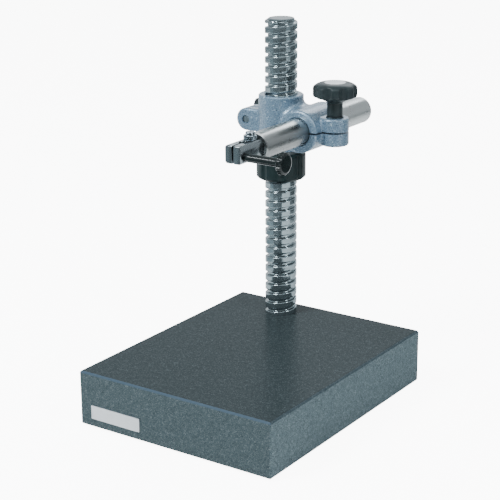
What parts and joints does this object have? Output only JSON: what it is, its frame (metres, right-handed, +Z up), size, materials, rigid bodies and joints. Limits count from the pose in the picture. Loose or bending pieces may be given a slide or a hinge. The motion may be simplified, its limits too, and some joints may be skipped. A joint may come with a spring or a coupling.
{
  "type": "comparator stand",
  "caption": "Granite-plate comparator stand: threaded column, lifting nut, swinging clamp bracket and a cross bar whose finely adjustable holder clamps a gauge stem.",
  "frame": {"origin": "centre of the granite plate's working face", "axes": "+Z up along the column, +X to the right, +Y to the back where the column stands"},
  "size_m": [0.2, 0.3078, 0.335],
  "materials": {
    "granite": "honed dark granite",
    "foot_rubber": "matt",
    "plate_metal": "satin",
    "column_steel": "turned and plated",
    "bar_steel": "ground",
    "holder_steel": "satin plated",
    "screw_chrome": "bright",
    "washer_steel": "plain",
    "bolt_steel": "blackened",
    "nut_black": "blackened",
    "hammer_paint": "blue-grey hammer paint",
    "knob_plastic": "fine grain",
    "cap_plastic": "pale",
    "stem_knob_black": "satin black"
  },
  "bodies": {
    "stand": {"granite_base": "granite", "base_feet": "foot_rubber", "name_plate": "plate_metal", "column": "column_steel", "column_bolt": "bolt_steel", "column_washer": "washer_steel"},
    "nut": {"lifting_nut": "nut_black"},
    "lift_ring": {"thrust_washer": "washer_steel"},
    "arm": {"arm_bracket": "hammer_paint", "bar_clamp_washer": "washer_steel", "column_clamp_washer": "washer_steel"},
    "bar_knob": {"bar_clamp_knob": "knob_plastic", "bar_clamp_cap": "cap_plastic", "bar_clamp_stud": "bolt_steel"},
    "column_knob": {"column_clamp_knob": "knob_plastic", "column_clamp_cap": "cap_plastic", "column_clamp_stud": "bolt_steel"},
    "bar": {"cross_bar": "bar_steel", "holder_pin": "bolt_steel", "fine_spring": "washer_steel"},
    "holder": {"stem_holder": "holder_steel"},
    "fine": {"fine_screw": "screw_chrome"},
    "stem_clamp": {"stem_knob": "stem_knob_black", "stem_stud": "bolt_steel"}
  },
  "joints": [
    {"name": "arm_lift", "type": "slide", "parent": "stand", "child": "lift_ring", "axis": [0, 0, 1], "range_m": [-0.12, 0.065]},
    {"name": "nut_turn", "type": "hinge", "parent": "lift_ring", "child": "nut", "pos_m": [-0.036, 0.098, 0.1466], "axis": [0, 0, 1], "range_deg": [-4760, 2580]},
    {"name": "arm_swing", "type": "hinge", "parent": "lift_ring", "child": "arm", "pos_m": [-0.036, 0.098, 0.1868], "axis": [0, 0, 1], "continuous": true},
    {"name": "bar_knob_turn", "type": "hinge", "parent": "arm", "child": "bar_knob", "pos_m": [0.0255, 0.092, 0.2], "axis": [0, 0, 1], "range_deg": [0, 360]},
    {"name": "column_knob_turn", "type": "hinge", "parent": "arm", "child": "column_knob", "pos_m": [-0.0685, 0.109, 0.1868], "axis": [0, 1, 0], "range_deg": [0, 360]},
    {"name": "bar_slide", "type": "slide", "parent": "arm", "child": "bar", "axis": [0, 1, 0], "range_m": [-0.06, 0.06]},
    {"name": "fine_tilt", "type": "hinge", "parent": "bar", "child": "holder", "pos_m": [0, 0.021, 0.1888], "axis": [1, 0, 0], "range_deg": [-0.8, 0.8], "deforming": ["fine_spring"]},
    {"name": "fine_turn", "type": "hinge", "parent": "holder", "child": "fine", "pos_m": [0, -0.0056, 0.1868], "axis": [0, 0, 1], "range_deg": [-280, 280]},
    {"name": "stem_knob_turn", "type": "hinge", "parent": "holder", "child": "stem_clamp", "pos_m": [0.0082, -0.0245, 0.1843], "axis": [1, 0, 0], "range_deg": [0, 360]}
  ],
  "couplings": [
    {"joint": "nut_turn", "follows": "arm_lift", "rad_per_m": 690.46},
    {"joint": "fine_turn", "follows": "fine_tilt", "ratio": 334.27}
  ]
}
